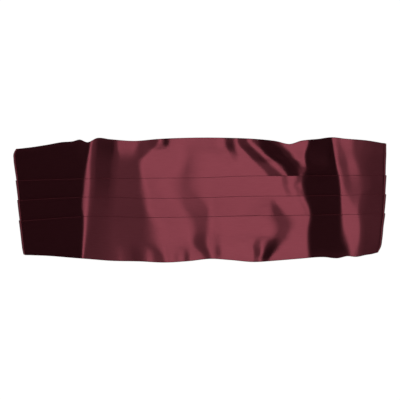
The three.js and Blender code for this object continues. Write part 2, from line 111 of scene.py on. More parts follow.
# The ends of the sash, seen from the front, and the creases that run across it, in millimetres.
# across tells how far across the sash each place lies. bend is how much the front's slope changes
# there, and round how softly the satin turns.
ENDS = {
    "across": [0, 0.04, 0.1, 0.2, 0.31, 0.4, 0.47, 0.55, 0.63, 0.75, 0.88, 0.95, 1],
    "left": [-194, -196.2, -196.3, -195, -193.2, -192.2, -191.5, -190.7, -189.8, -188.6, -187.5,
             -186.8, -185.9],
    "right": [196, 196, 196, 195.6, 195.3, 195.1, 195, 194.6, 194, 192.5, 191.4, 190.2, 187.5],
}
LEFT_SLOPE = 0.19
CREASES = [
    # The crest that stands at the left, sharp on its left side and softer on its right one.
    {"across": [0, 0.1, 0.2, 0.31, 0.4, 0.55, 0.63, 0.75, 0.88, 1],
     "x": [-114.5, -117, -119.5, -121.5, -122.5, -124, -122.5, -122.5, -123.5, -124],
     "bend": -0.19, "round": 1.5},
    {"across": [0, 0.1, 0.2, 0.31, 0.47, 0.63, 0.75, 0.88, 1],
     "x": [-110.5, -112.5, -114, -114, -115.5, -117.5, -118.5, -120.5, -122.5],
     "bend": [-0.335, -0.34, -0.34, -0.335, -0.31, -0.27, -0.27, -0.27, -0.25],
     "round": [4, 4.5, 4.5, 4.5, 5, 4, 3.5, 2.5, 1.5]},
    # The fall to its right eases in steps, with a small lobe at the upper edge.
    {"across": [0, 0.08, 0.11, 0.15, 0.31, 0.47, 0.55, 0.63, 0.75, 1],
     "x": [-88.5, -88.5, -88, -89, -91, -92.5, -93.5, -96.5, -100, -100],
     "bend": [0.27, 0.285, 0.25, 0.19, 0.165, 0.125, 0.095, 0.08, 0.105, 0.08],
     "round": [2.5, 3, 4, 4.5, 4.5, 5, 5, 6.5, 8.5, 8.5]},
    {"across": [0, 0.05, 0.11, 0.16], "x": [-63.5, -66, -67, -67], "bend": [-0.1, -0.1, -0.055, 0],
     "round": [3, 3, 4, 4]},
    {"across": [0, 0.05, 0.08, 0.12, 0.15, 0.2, 0.31, 0.4, 0.47, 0.55, 0.62, 0.67, 0.75, 0.83, 0.9, 1],
     "x": [-43, -46, -50.5, -57, -62, -63, -61, -59, -57, -56.5, -53, -48, -47, -47.5, -40.5, -35.5],
     "bend": [0.18, 0.175, 0.155, 0.17, 0.18, 0.18, 0.185, 0.175, 0.18, 0.19, 0.19, 0.18, 0.175, 0.175,
              0.175, 0.17],
     "round": [2.5, 3, 4, 4, 4, 3.5, 4.5, 6.5, 6.5, 5, 7, 12, 14, 13, 5, 3]},
    # The soft hollow that leans down through the middle.
    {"across": [0, 0.07, 0.15, 0.25, 0.31, 0.4, 0.47, 0.55, 0.63, 0.75, 0.87, 0.93, 1],
     "x": [-18, -18, -19, -22, -31, -34, -27.5, -21, -13.5, -8, -7, 1, 6.5],
     "bend": [0, 0, -0.075, -0.105, -0.105, -0.095, -0.1, -0.11, -0.115, -0.11, -0.18, -0.18, -0.15],
     "round": [6.5, 6.5, 6.5, 7.5, 13.5, 16, 10.5, 6.5, 7.5, 6.5, 4, 3, 3]},
    {"across": [0, 0.07, 0.15, 0.25, 0.31, 0.4, 0.47, 0.55, 0.63, 0.75, 0.87, 0.93, 1],
     "x": [-3, -3, 0, 1, 0, -1, 6, 10.5, 11, 9.5, 6.5, 9, 12],
     "bend": [0, 0, 0.055, 0.095, 0.105, 0.11, 0.115, 0.125, 0.13, 0.125, 0.195, 0.195, 0.165],
     "round": [8.5, 8.5, 10, 14, 13, 12, 9, 4.5, 4.5, 5, 3.5, 3, 3]},
    # The steep rise at the right, and its crest.
    {"across": [0, 0.06, 0.12, 0.18, 0.26, 0.31, 0.37, 0.47, 0.56, 0.62, 0.75, 1],
     "x": [117, 114, 111, 112, 112.5, 107, 108, 110.5, 115.5, 117, 114.5, 115],
     "bend": [0.4, 0.4, 0.4, 0.39, 0.32, 0.27, 0.25, 0.24, 0.24, 0.235, 0.235, 0.235],
     "round": [3, 3, 3, 3, 3, 7.5, 4, 4, 3, 3, 3.5, 3.5]},
    {"across": [0, 0.06, 0.12, 0.18, 0.26, 0.31, 0.4, 0.55, 0.63, 0.75, 0.83, 0.92, 1],
     "x": [138, 139, 140, 141.5, 143.5, 145.3, 147, 148, 148.3, 149.3, 151.3, 155.5, 158],
     "bend": [-0.4, -0.4, -0.4, -0.38, -0.31, -0.27, -0.25, -0.245, -0.245, -0.245, -0.245, -0.245, -0.245],
     "round": [1.5, 1.5, 1.5, 1.5, 1.5, 2, 2, 2, 3, 4, 6.5, 4.5, 3]},
    # The shallow groove that runs down beside the crest and fades out.
    {"across": [0, 0.1, 0.2, 0.31, 0.4, 0.47, 0.55, 0.63],
     "x": [142, 144, 145.5, 149, 151, 154, 159.5, 164],
     "bend": [-0.06, -0.07, -0.095, -0.09, -0.085, -0.075, -0.05, 0],
     "round": [1.5, 1.5, 2, 2.5, 2.5, 3, 3, 3]},
    {"across": [0, 0.06, 0.12, 0.2, 0.27, 0.33, 0.4, 0.47],
     "x": [147.5, 148.5, 152, 154.5, 155.5, 157, 159, 159.5],
     "bend": [0.04, 0.045, 0.03, 0.075, 0.06, 0.045, 0.025, 0], "round": 2},
    # The fall to the right end.
    {"across": [0, 0.13, 0.18, 0.27, 0.33, 0.42, 0.52, 0.6, 0.73, 0.85, 1],
     "x": [160.5, 161.5, 163.5, 167, 168.7, 170.3, 168, 167, 168.5, 168, 163],
     "bend": [-0.09, -0.07, -0.085, -0.08, -0.065, -0.045, -0.05, -0.09, -0.105, -0.11, -0.11], "round": 3},
    {"across": [0, 0.06, 0.13, 0.18, 0.27, 0.4, 0.46, 0.52, 0.6, 0.73, 1],
     "x": [177.5, 176.5, 173, 171, 172, 177, 172.5, 171, 169, 170, 168],
     "bend": -0.125, "round": [7.5, 7.5, 7.5, 4.5, 4, 4.5, 4, 5, 4, 3, 3]},
]

# Dents in single strips, in millimetres. Each is followed down from its first y to its last. At
# every y the satin falls over the width left, lies level over the width flat, which starts at x,
# and rises again over the width right. A negative depth makes a swell. round is the share of its
# left and right sides that turns softly at each of their ends.
DENTS = [
    # The deep trough that crosses the top band, and the swell to its right.
    {"strip": 0, "y": [62, 56.5, 52.5, 48.5, 44, 40, 35.5, 31.5, 25.5],
     "x": [51, 56, 60.5, 65, 69, 74, 79.5, 84.5, 90],
     "left": [13, 15.5, 16, 17, 17, 18.5, 20, 20.5, 21.5], "flat": [1, 2, 2, 1, 2.5, 2.5, 2, 1.5, 1],
     "right": [22, 24, 24, 22, 22, 20, 19, 18, 15],
     "depth": [2.1, 2.4, 2.5, 2.7, 2.4, 1.8, 1.6, 1.8, 2.3], "round": (0.3, 0.2)},
    {"strip": 0, "y": [62, 56.5, 52.5, 48.5, 44, 40, 35.5, 31.5, 27],
     "x": [87, 92, 97, 101, 103.5, 107.5, 108.5, 108, 109],
     "left": [27, 30, 32, 31, 29, 27, 22, 19, 17], "flat": [28, 20, 13.5, 8, 6.5, 3.5, 2.5, 2, 1],
     "right": [26, 27, 29, 30.5, 30, 29.5, 30, 31, 31],
     "depth": [-3.2, -3.3, -3.5, -3.6, -3.6, -3.4, -2.6, -1.3, 0], "round": (0.25, 0.25)},
    # The dimple to its left, and the pinch in the upper edge.
    {"strip": 0, "y": [63, 56.5, 52.5, 48.5, 44, 39], "x": [23, 24, 26, 28.5, 30.5, 32.5],
     "left": 47, "flat": 0, "right": [16, 16, 15, 14.5, 12.5, 10.5],
     "depth": [1.35, 1.45, 1.1, 0.7, 0.4, 0], "round": (0.2, 0.35)},
    {"strip": 0, "y": [63, 61, 56.5, 53], "x": [-40.5, -40.5, -41, -41], "left": 16, "flat": 0, "right": 10,
     "depth": [0.75, 0.75, 0.4, 0], "round": (0.4, 0.4)},
    # Faint drag lines in the two pleats, and the dimple over the bottom band.
    {"strip": 1, "y": [24, 19, 14.5, 10.5, 4.5], "x": [93.5, 94.5, 94.5, 96.5, 98.5], "left": 9.5,
     "flat": [2, 3, 2, 2, 2], "right": [11.5, 8.5, 9.5, 9.5, 8.5], "depth": [0.45, 0.5, 0.45, 0.45, 0.35],
     "round": (0.3, 0.3)},
    {"strip": 2, "y": [3, -1, -7.5, -12.5], "x": [102, 103, 107, 109], "left": 7.5, "flat": 0, "right": 5,
     "depth": 0.1, "round": (0.3, 0.3)},
    {"strip": 2, "y": [3, -1, -4, -7.5, -13.5, -17], "x": 71.5, "left": 31.5, "flat": 0,
     "right": [10, 10, 12.5, 15.5, 21, 24], "depth": [0, 0.3, 0.5, 0.8, 1.15, 1.3], "round": (0.25, 0.35)},
    # The valley below it, which deepens as it leans down to the left.
    {"strip": 3, "y": [-15, -19, -23, -27.5, -31.5, -35.5, -40, -44, -48.5, -52.5, -56.5, -62],
     "x": [67.5, 68.5, 71, 73, 74, 73, 70, 66.5, 65.5, 66, 65.5, 63], "left": 52.5, "flat": 0,
     "right": [31, 33, 32.5, 30.5, 28, 26, 28, 28, 24, 20, 16, 13],
     "depth": [1.45, 1.6, 1.65, 1.6, 1.45, 1.4, 1.5, 1.5, 1.4, 1.2, 0.9, 0.6], "round": (0.2, 0.35)},
    {"strip": 3, "y": [-38, -44, -48.5, -52.5, -56.5, -62], "x": [66.5, 66.5, 65.5, 65.5, 65, 63.5],
     "left": [10.5, 10.5, 11.5, 10.5, 9.5, 8.5], "flat": 0, "right": [21, 19, 18, 14, 12, 10.5],
     "depth": [0, 0.6, 0.8, 1, 1, 0.6], "round": (0.3, 0.3)},
    # Small pinches along the lower edge, and a lobe beside the darkest of them.
    {"strip": 3, "y": [-33.5, -40, -44, -48.5, -52.5, -56.5, -62], "x": 13.5, "left": 26, "flat": 0,
     "right": 11.5, "depth": [0, 0.2, 0.3, 0.45, 0.55, 0.55, 0.35], "round": (0.3, 0.35)},
    {"strip": 3, "y": [-48.5, -53.5, -59, -64], "x": -19, "left": 12.5, "flat": 0, "right": 10.5,
     "depth": [0, 0.35, 0.6, 0.6], "round": (0.4, 0.35)},
    {"strip": 3, "y": [-42, -48.5, -53.5, -59, -64], "x": [-64, -62.5, -61, -60, -59.5],
     "left": 13.5, "flat": 0, "right": 13.5,
     "depth": [0, 0.15, 0.45, 0.65, 0.7], "round": (0.35, 0.4)},
    {"strip": 3, "y": [-45, -50.5, -56.5, -64], "x": [-79, -78, -77, -76.5],
     "left": 13.5, "flat": 0, "right": 14.5,
     "depth": [0, -0.15, -0.25, -0.3], "round": (0.45, 0.45)},
]

STATION_STEP = 0.0012  # along the sash
ROW_STEP = 0.001  # across it
FOLD_STATIONS = 22
FLAP_STATIONS = 60
NOSE_POINTS = 5  # round each folded edge
GRID_STEP = 0.0005
GRID_ROW = 0.001
EVENNESS = 0.5  # how much the cloth resists changes across the sash


def smooth_through(xs, ys, at):
    """A smooth curve through the points, at the places asked for."""
    xs, ys = np.asarray(xs, float), np.asarray(ys, float)
    slopes = np.gradient(ys, xs)
    i = np.clip(np.searchsorted(xs, at, side="right") - 1, 0, len(xs) - 2)
    span = xs[i + 1] - xs[i]
    t = np.clip((at - xs[i]) / span, 0, 1)
    rise = ys[i + 1] - ys[i]
    start, end = slopes[i] * span, slopes[i + 1] * span
    return ys[i] + t * start + t ** 2 * (3 * rise - 2 * start - end) + t ** 3 * (start + end - 2 * rise)


def table_at(table, key, places, at):
    """A table's column, followed smoothly along its places. A single number holds at all of them."""
    return smooth_through(table[places], np.broadcast_to(table[key], len(table[places])), at)


def soft_step(t, turn):
    """From 0 to 1, straight but for the share of the way that turns softly at each end."""
    t = np.clip(t, 0, 1)
    start = t ** 2 / (2 * turn * (1 - turn))
    end = 1 - (1 - t) ** 2 / (2 * turn * (1 - turn))
    return np.where(t < turn, start, np.where(t > 1 - turn, end, (t - turn / 2) / (1 - turn)))


def front_slope(x, across):
    """Slope of the front along the sash, as its creases have it."""
    slope = LEFT_SLOPE
    for crease in CREASES:
        line, bend, width = (table_at(crease, key, "across", across) for key in ("x", "bend", "round"))
        slope = slope + bend * np.clip((1000 * x - line + width) / (2 * width), 0, 1)
    return slope


def relaxed_front():
    """Height of the middle of the front, a row for each place across the sash. Cloth can't follow
    every crease by itself, so this is the surface that keeps the creases' slopes along the sash
    best while it changes little across it. It is solved with cosine waves on an even grid."""
    rows = round(2 * half_height / GRID_ROW)
    columns = round(2 * half_length / GRID_STEP)
    across = (np.arange(rows) + 0.5)[:, None] / rows
    x = np.arange(1, columns) * GRID_STEP - half_length
    slope = np.pad(front_slope(x[None, :], across), ((0, 0), (1, 1)))
    bends = np.diff(slope, axis=1) / GRID_STEP
    mirrored = np.block([[bends, bends[:, ::-1]], [bends[::-1], bends[::-1, ::-1]]])
    waves_along = (2 - 2 * np.cos(np.pi * np.arange(2 * columns) / columns)) / GRID_STEP ** 2
    waves_across = (2 - 2 * np.cos(np.pi * np.arange(2 * rows) / rows)) / GRID_ROW ** 2
    stiffness = waves_along[None, :] + EVENNESS ** 2 * waves_across[:, None]
    stiffness[0, 0] = 1
    height = np.fft.ifft2(-np.fft.fft2(mirrored) / stiffness).real[:rows, :columns]
    at_left = round((half_length + end_x(-1, 0.5)) / GRID_STEP)
    return height - height[:, at_left].mean() + FRONT_LIFT


def front_height(x, across):
    """Height of the middle of the front over the floor, read from the relaxed surface."""
    rows, columns = relaxed.shape
    row = np.clip(across * rows - 0.5, 0, rows - 1.001)
    column = np.clip((x + half_length) / GRID_STEP - 0.5, 0, columns - 1.001)
    row, column = np.broadcast_arrays(row, column)
    i, j = row.astype(int), column.astype(int)
    s, t = row - i, column - j
    return ((relaxed[i, j] * (1 - t) + relaxed[i, j + 1] * t) * (1 - s)
            + (relaxed[i + 1, j] * (1 - t) + relaxed[i + 1, j + 1] * t) * s)


def dent_depth(strip, x, y):
    """How far a strip dips below the front at a place on it."""
    depth = np.zeros_like(x)
    for dent in DENTS:
        if dent["strip"] != strip:
            continue
        down = {**dent, "down": [-place for place in dent["y"]]}
        line, left, flat, right, most = (
            table_at(down, key, "down", -1000 * y) for key in ("x", "left", "flat", "right", "depth"))
        side = 1000 * x - line
        falls, rises = dent["round"]
        share = np.where(side < 0, soft_step(1 + side / left, falls),
                         soft_step(1 - np.maximum(side - flat, 0) / right, rises))
        depth += most / 1000 * share
    return depth


def edge_lines(share):
    """y of the five edges across the sash. share holds x at each of them, in half lengths."""
    return half_height * np.stack([
        smooth_through(TOP_EDGE["x"], TOP_EDGE["y"], share[0]),
        smooth_through(PLEAT_EDGES["x"], PLEAT_EDGES["upper"], share[1]),
        smooth_through(PLEAT_EDGES["x"], PLEAT_EDGES["lower"], share[2]),
        smooth_through(PLEAT_EDGES["x"], PLEAT_EDGES["bottom"], share[3]),
        smooth_through(BOTTOM_EDGE["x"], BOTTOM_EDGE["y"], share[4]),
    ])


def between_edges(lines, across):
    """y at places across the sash, straight between its edges. lines has an edge a row."""
    return np.stack([np.interp(across, STRIP_EDGES, column) for column in lines.T])


def end_x(side, across):
    """Where the front turns under, at the left end for side -1 and at the right end for 1."""
    return table_at(ENDS, "left" if side < 0 else "right", "across", across) / 1000 - side * END_BULGE


relaxed = relaxed_front()


def sheet_middle(across):
    """The middle of the sheet as a grid of points, a row for each station from the left flap's end
    to the right one's, and the share in which the front's dents count there."""
    edges = np.array(STRIP_EDGES, float)
    count = round((end_x(1, 0.5) - end_x(-1, 0.5)) / STATION_STEP)
    t = np.linspace(0, 1, count + 1)[:, None]
    x = end_x(-1, across) * (1 - t) + end_x(1, across) * t
    lines = edge_lines(((end_x(-1, edges) * (1 - t) + end_x(1, edges) * t) / half_length).T)
    front = np.stack([x, between_edges(lines, across), front_height(x, across)], axis=-1)
    sewn = FLAP_END_RISE + FLAP_END_WIDTH * (0.5 - across)
    ends = {}
    for side in (-1, 1):
        edge = end_x(side, across)
        top = front_height(edge, across)
        y = between_edges(edge_lines(end_x(side, edges)[:, None] / half_length), across)[0]
        step = 1e-5
        fall = side * (front_height(edge + step, across) - front_height(edge - step, across)) / (2 * step)
        turn = np.linspace(0, 1, FOLD_STATIONS + 1)[1:, None]
        reach = END_BULGE * 4 / 3
        a, b, c, d = (1 - turn) ** 3, 3 * turn * (1 - turn) ** 2, 3 * turn ** 2 * (1 - turn), turn ** 3
        fold = np.stack([
            edge + side * reach * (b + c),
            y + FOLD_SHARE * turn * (sewn - y),
            a * top + b * (top + reach * fall) + (c + d) * back_level,
        ], axis=-1)
        run = np.linspace(0, 1, FLAP_STATIONS + 1)[1:, None]
        flap_end = side * (half_length - FLAP_REACH)
        flap = np.stack([
            edge + run * (flap_end - edge),
            y + (FOLD_SHARE + (1 - FOLD_SHARE) * run) * (sewn - y),
            np.full((FLAP_STATIONS, len(across)), back_level),
        ], axis=-1)
        ends[side] = np.concatenate([fold, flap])
    middle = np.concatenate([ends[-1][::-1], front, ends[1]])
    dents = np.zeros((len(middle), 1))
    dents[len(ends[-1]):len(ends[-1]) + len(front)] = 1
    return middle, dents


def strip_mesh(name, strip):
    """One strip as a closed band with a round nose along both long edges."""
    first, last = STRIP_EDGES[strip], STRIP_EDGES[strip + 1]
    if strip < 3:
        last += TUCK
    rows = round((last - first) * 2 * half_height / ROW_STEP)
    across = np.linspace(first, last, rows + 1)
    middle, dents = sheet_middle(across)
    along = np.gradient(middle, axis=0)
    down = np.gradient(middle, axis=1)
    out = np.cross(down, along)
    out /= np.linalg.norm(out, axis=-1, keepdims=True)
    # A strip's folded edge lies on the strip above it, and its other edge runs on under the next.
    # The top band lies flat up to there, and is tucked in at the lean of the strip over it.
    leaning = max(strip, 1)
    lean = (across - STRIP_EDGES[leaning]) / (STRIP_EDGES[leaning + 1] - STRIP_EDGES[leaning])
    stand = PLEAT_LIFT * (np.minimum(-lean, 0) if strip == 0 else 1 - lean)
    x, y = middle[..., 0], middle[..., 1]
    dent = dent_depth(strip, x, y)
    if strip < 3:
        under = across - STRIP_EDGES[strip + 1]
        fading = np.minimum(dent, dent * (1 - np.clip(under / TUCK, 0, 1)))
        dent = np.where(under < 0, dent, np.maximum(fading, dent_depth(strip + 1, x, y)))
    stand = stand - dents * dent
    centre = middle + out * stand[..., None]
    sideways = down / np.linalg.norm(down, axis=-1, keepdims=True)
    outer = centre + out * CLOTH / 2
    inner = centre - out * CLOTH / 2
    # The noses are half circles from the inner face to the outer one and back.
    angles = np.linspace(-np.pi / 2, np.pi / 2, NOSE_POINTS + 2)[1:-1]
    upper_nose = [centre[:, 0] + CLOTH / 2 * (out[:, 0] * np.sin(a) - sideways[:, 0] * np.cos(a))
                  for a in angles]
    lower_nose = [centre[:, -1] + CLOTH / 2 * (out[:, -1] * np.sin(-a) + sideways[:, -1] * np.cos(a))
                  for a in angles]
    ring = np.concatenate([
        np.stack(upper_nose, axis=1), outer, np.stack(lower_nose, axis=1), inner[:, ::-1],
    ], axis=1)
    return band_mesh(name, ring, "cloth")


def band_mesh(name, ring, map_name):
    """A closed band from rings of points, with its own directions as a map in metres: u goes round
    the ring and v along the band."""
    stations, around = ring.shape[:2]
    mesh = bpy.data.meshes.new(name)
    index = np.arange(stations * around).reshape(stations, around)
    a, b = index[:-1], index[1:]
    quads = np.stack([a, np.roll(a, -1, 1), np.roll(b, -1, 1), b], axis=-1).reshape(-1, 4)
    faces = quads.tolist()
    faces.append(index[0][::-1].tolist())
    faces.append(index[-1].tolist())
    mesh.from_pydata(ring.reshape(-1, 3).tolist(), [], faces)
    mesh.validate()
    v = np.concatenate([[0], np.cumsum(np.linalg.norm(np.diff(ring[:, around // 4], axis=0), axis=1))])
    u = np.concatenate([[0], np.cumsum(np.linalg.norm(np.diff(ring[stations // 2], axis=0), axis=1))])
    uv = mesh.uv_layers.new(name=map_name)
    loops = np.zeros(len(mesh.loops), int)
    mesh.loops.foreach_get("vertex_index", loops)
    uv.data.foreach_set("uv", np.stack([u[loops % around], v[loops // around]], axis=-1).ravel())
    for polygon in mesh.polygons:
        polygon.use_smooth = True
    return mesh


def linear(colour):
    """An sRGB hex colour as linear red, green, blue and alpha."""
    parts = [int(colour[i:i + 2], 16) / 255 for i in (1, 3, 5)]
    return [c / 12.92 if c <= 0.04045 else ((c + 0.055) / 1.055) ** 2.4 for c in parts] + [1]


def node(material, kind, links=(), **settings):
    """Adds a node. settings are its properties, and sockets by name; links are (socket, source)."""
    made = material.node_tree.nodes.new(kind)
    for key, value in settings.items():
        if hasattr(made, key):
            setattr(made, key, value)
        else:
            made.inputs[key.replace("_", " ")].default_value = value
    for socket, source in links:
        material.node_tree.links.new(source, made.inputs[socket])
    return made


def empty_material(name):
    material = bpy.data.materials.new(name)
    material.use_nodes = True
    material.node_tree.nodes.clear()
    return material


def piece_of(name, mesh, material, cad_node):
    """Puts a mesh in the scene as a piece that stands for a CAD node."""
    if not mesh.materials:
        mesh.materials.append(material)
    piece = bpy.data.objects.new(name, mesh)
    bpy.context.scene.collection.objects.link(piece)
    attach(piece, "root")
    if cad_node:
        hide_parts(cad_node)
    return piece


# Polyester satin, woven with long floats that run along the strips. The floats give a gloss that
# is narrow along the sash and wide across it, in the dye's own colour.
SATIN_DYE = "#C66070"
SATIN_DYE_DEEP = "#BA5464"
satin = empty_material("burgundy_satin")
cloth_map = node(satin, "ShaderNodeUVMap", uv_map="cloth")
floats = node(satin, "ShaderNodeMapping", [("Vector", cloth_map.outputs["UV"])])
floats.inputs["Scale"].default_value = (1 / 0.0009, 1 / 0.012, 1)
yarns = node(satin, "ShaderNodeTexNoise", [("Vector", floats.outputs["Vector"])], Scale=1.0, Detail=2.0)
dye = node(satin, "ShaderNodeMix", [("Factor", yarns.outputs["Fac"])], data_type="RGBA")
dye.inputs[6].default_value = linear(SATIN_DYE_DEEP)
dye.inputs[7].default_value = linear(SATIN_DYE)
relief = node(satin, "ShaderNodeBump", [("Height", yarns.outputs["Fac"])], Strength=0.15, Distance=0.00005)
tangent = node(satin, "ShaderNodeTangent", direction_type="UV_MAP", uv_map="cloth")
gloss = node(satin, "ShaderNodeBsdfPrincipled", [
    ("Base Color", dye.outputs[2]),
    ("Normal", relief.outputs["Normal"]),
    ("Tangent", tangent.outputs["Tangent"]),
], Metallic=0.95, Roughness=0.33, Anisotropic=0.75, Coat_Weight=0.25, Coat_Roughness=0.3)
node(satin, "ShaderNodeOutputMaterial", [("Surface", gloss.outputs["BSDF"])])

TURNED_ENDS = 0.03  # length that a strip takes to turn under at both ends
for strip, name in enumerate(["top_band", "upper_pleat", "lower_pleat", "bottom_band"]):
    mesh = strip_mesh(name + "_satin", strip)
    piece = piece_of(name + "_satin", mesh, satin, name)
    length = 2 * half_length + 2 * FLAP_REACH + TURNED_ENDS

# The straps. Each is a length of black woven webbing, sewn onto the inside of the tapered end of
# the sash. It comes down to the floor, passes round a bar of the clasp and is sewn to itself.
STRAP_WIDTH = 0.025
STRAP_THICKNESS = 0.0015
STRAP_LAP = 0.014
STRAP_DROP = 0.010
STRAP_RETURN = 0.018
RETURN_FALL = 0.006  # over which the strap comes down from the bar onto itself
CLASP_THICKNESS = 0.0018
CLASP_BAR = 0.004
CLASP_SLOT = 0.007
CLASP_MIDDLE = 0.006
CLASP_PLAY = 0.001
CLASP_CORNER = 0.003
CLASP_GAP = 0.0003  # between the clasp and a strap
RIB_PITCH = 0.0011
RIB_DEPTH = 0.00012
RIB_STATIONS = 6
clasp_half = CLASP_MIDDLE / 2 + CLASP_SLOT + CLASP_BAR
bar_middle = clasp_half - CLASP_BAR / 2
clasp_bottom = STRAP_THICKNESS + CLASP_GAP
lap_start = -(half_length - FLAP_REACH) - STRAP_LAP
lap_end = lap_start + STRAP_LAP
lap_level = back_level + CLOTH / 2 + tuck_rise + SEAM_GAP + STRAP_THICKNESS / 2
loop_level = clasp_bottom + CLASP_THICKNESS + CLASP_GAP + STRAP_THICKNESS / 2
loop_end = -bar_middle + CLASP_BAR / 2 + CLASP_GAP + STRAP_THICKNESS / 2
return_start = -bar_middle - CLASP_BAR / 2 - RETURN_FALL
seam_x = return_start - STRAP_RETURN
# Corners of the strap's middle, seen from the sash's lower edge, and how large each is rounded.
STRAP_CORNERS = [
    (lap_start, lap_level, 0), (lap_end, lap_level, 0.003),
    (lap_end + STRAP_DROP, STRAP_THICKNESS / 2, 0.004),
    (loop_end, STRAP_THICKNESS / 2, 0.0011), (loop_end, loop_level, 0.0011),
    (-bar_middle - CLASP_BAR / 2, loop_level, 0.002),
    (return_start, 1.5 * STRAP_THICKNESS, 0.003), (seam_x, 1.5 * STRAP_THICKNESS, 0),
]


def rounded_path(corners, step):
    """Points along straight runs with rounded corners, about a step apart."""
    points = [np.array(corners[0][:2])]
    for before, corner, after in zip(corners, corners[1:], corners[2:]):
        middle = np.array(corner[:2])
        to_before = np.array(before[:2]) - middle
        to_after = np.array(after[:2]) - middle
        start = middle + to_before / np.linalg.norm(to_before) * corner[2]
        end = middle + to_after / np.linalg.norm(to_after) * corner[2]
        t = np.linspace(0, 1, 9)[:, None]
        points += list((1 - t) ** 2 * start + 2 * t * (1 - t) * middle + t ** 2 * end)
    points.append(np.array(corners[-1][:2]))
    points = np.array(points)
    run = np.concatenate([[0], np.cumsum(np.linalg.norm(np.diff(points, axis=0), axis=1))])
    even = np.linspace(0, run[-1], round(run[-1] / step) + 1)
    return np.stack([np.interp(even, run, points[:, 0]), np.interp(even, run, points[:, 1])], axis=1), even


def strap_mesh(name, side):
    """The webbing: a flat band with round edges and ribs across it."""
    path, run = rounded_path(STRAP_CORNERS, RIB_PITCH / RIB_STATIONS)
    ahead = np.gradient(path, axis=0)
    ahead /= np.linalg.norm(ahead, axis=1, keepdims=True)
    up = np.stack([-ahead[:, 1], ahead[:, 0]], axis=1)
    rib = 1 - RIB_DEPTH / STRAP_THICKNESS * (1 + np.cos(2 * np.pi * run / RIB_PITCH))
    # Half of the section: along the top and round the edge.
    flat = np.linspace(-1, 1, 26)
    top = [(w, 1) for w in flat * (STRAP_WIDTH - STRAP_THICKNESS) / 2]
    edge = [((STRAP_WIDTH - STRAP_THICKNESS + STRAP_THICKNESS * math.sin(a)) / 2, math.cos(a))
            for a in np.linspace(0, math.pi, 7)[1:-1]]
    section = top + edge + [(-w, -h) for w, h in top + edge]
    ring = np.array([
        [(x + u[0] * h * r * STRAP_THICKNESS / 2, FLAP_END_RISE - w, z + u[1] * h * r * STRAP_THICKNESS / 2)
         for w, h in section]
        for (x, z), u, r in zip(path, up, rib)
    ])
    if side > 0:
        ring[..., 0] *= -1
        ring[..., 1] = 2 * FLAP_END_RISE - ring[..., 1]
    return band_mesh(name, ring, "webbing"), run[-1]


# Spun polyester webbing, dull, with fine yarns along it that show between the ribs.
WEBBING_DYE = "#272228"
WEBBING_DYE_WORN = "#4C4650"
webbing = empty_material("black_webbing")
web_map = node(webbing, "ShaderNodeUVMap", uv_map="webbing")
web_scale = node(webbing, "ShaderNodeMapping", [("Vector", web_map.outputs["UV"])])
web_scale.inputs["Scale"].default_value = (1 / 0.0006, 1 / RIB_PITCH, 1)
weave = node(webbing, "ShaderNodeTexNoise", [("Vector", web_scale.outputs["Vector"])],
             Scale=1.0, Detail=3.0)
web_dye = node(webbing, "ShaderNodeMix", [("Factor", weave.outputs["Fac"])], data_type="RGBA")
web_dye.inputs[6].default_value = linear(WEBBING_DYE)
web_dye.inputs[7].default_value = linear(WEBBING_DYE_WORN)
web_relief = node(webbing, "ShaderNodeBump", [("Height", weave.outputs["Fac"])],
                  Strength=0.5, Distance=0.0002)
web_face = node(webbing, "ShaderNodeBsdfPrincipled", [
    ("Base Color", web_dye.outputs[2]), ("Normal", web_relief.outputs["Normal"]),
], Roughness=0.8)
node(webbing, "ShaderNodeOutputMaterial", [("Surface", web_face.outputs["BSDF"])])

for side, name in ((-1, "left"), (1, "right")):
    mesh, length = strap_mesh(name + "_webbing", side)
    piece = piece_of(name + "_webbing", mesh, webbing, name + "_strap")

# The clasp: one flat stamped plate of nickelled steel, with a slot for each strap, its edges eased.
CLASP_EASE = 0.0003
slot_length = STRAP_WIDTH + 2 * CLASP_PLAY
outline = bpy.data.curves.new("clasp_outline", "CURVE")
outline.dimensions = "2D"
outline.fill_mode = "BOTH"
outline.extrude = CLASP_THICKNESS / 2 - CLASP_EASE
outline.bevel_depth = CLASP_EASE
outline.bevel_resolution = 3


def rounded_rectangle(curve, middle, half_x, half_y, radius):
    """Adds a closed outline with round corners to a flat curve, set in by the eased edge."""
    points = []
    for i in range(4):
        turn = i * math.pi / 2
        cx = middle + (half_x - radius) * (1 if i in (0, 3) else -1)
        cy = (half_y - radius) * (1 if i in (0, 1) else -1)
        points += [(cx + radius * math.cos(turn + a), cy + radius * math.sin(turn + a), 0, 1)
                   for a in np.linspace(0, math.pi / 2, 7)]
    spline = curve.splines.new("POLY")
    spline.points.add(len(points) - 1)
    for point, place in zip(spline.points, points):
        point.co = place
    spline.use_cyclic_u = True


rounded_rectangle(outline, 0, clasp_half - CLASP_EASE, slot_length / 2 + CLASP_BAR - CLASP_EASE,
                  CLASP_CORNER - CLASP_EASE)
for side in (-1, 1):
    rounded_rectangle(outline, side * (CLASP_MIDDLE + CLASP_SLOT) / 2, CLASP_SLOT / 2 + CLASP_EASE,
                      slot_length / 2 + CLASP_EASE, CLASP_CORNER / 4 + CLASP_EASE)
drawn = bpy.data.objects.new("clasp_outline", outline)
bpy.context.scene.collection.objects.link(drawn)
plate = bpy.data.meshes.new_from_object(drawn.evaluated_get(bpy.context.evaluated_depsgraph_get()))
bpy.data.objects.remove(drawn)
plate.name = "clasp_plate"
plate.transform(Matrix.Translation((0, FLAP_END_RISE, clasp_bottom + CLASP_THICKNESS / 2)))

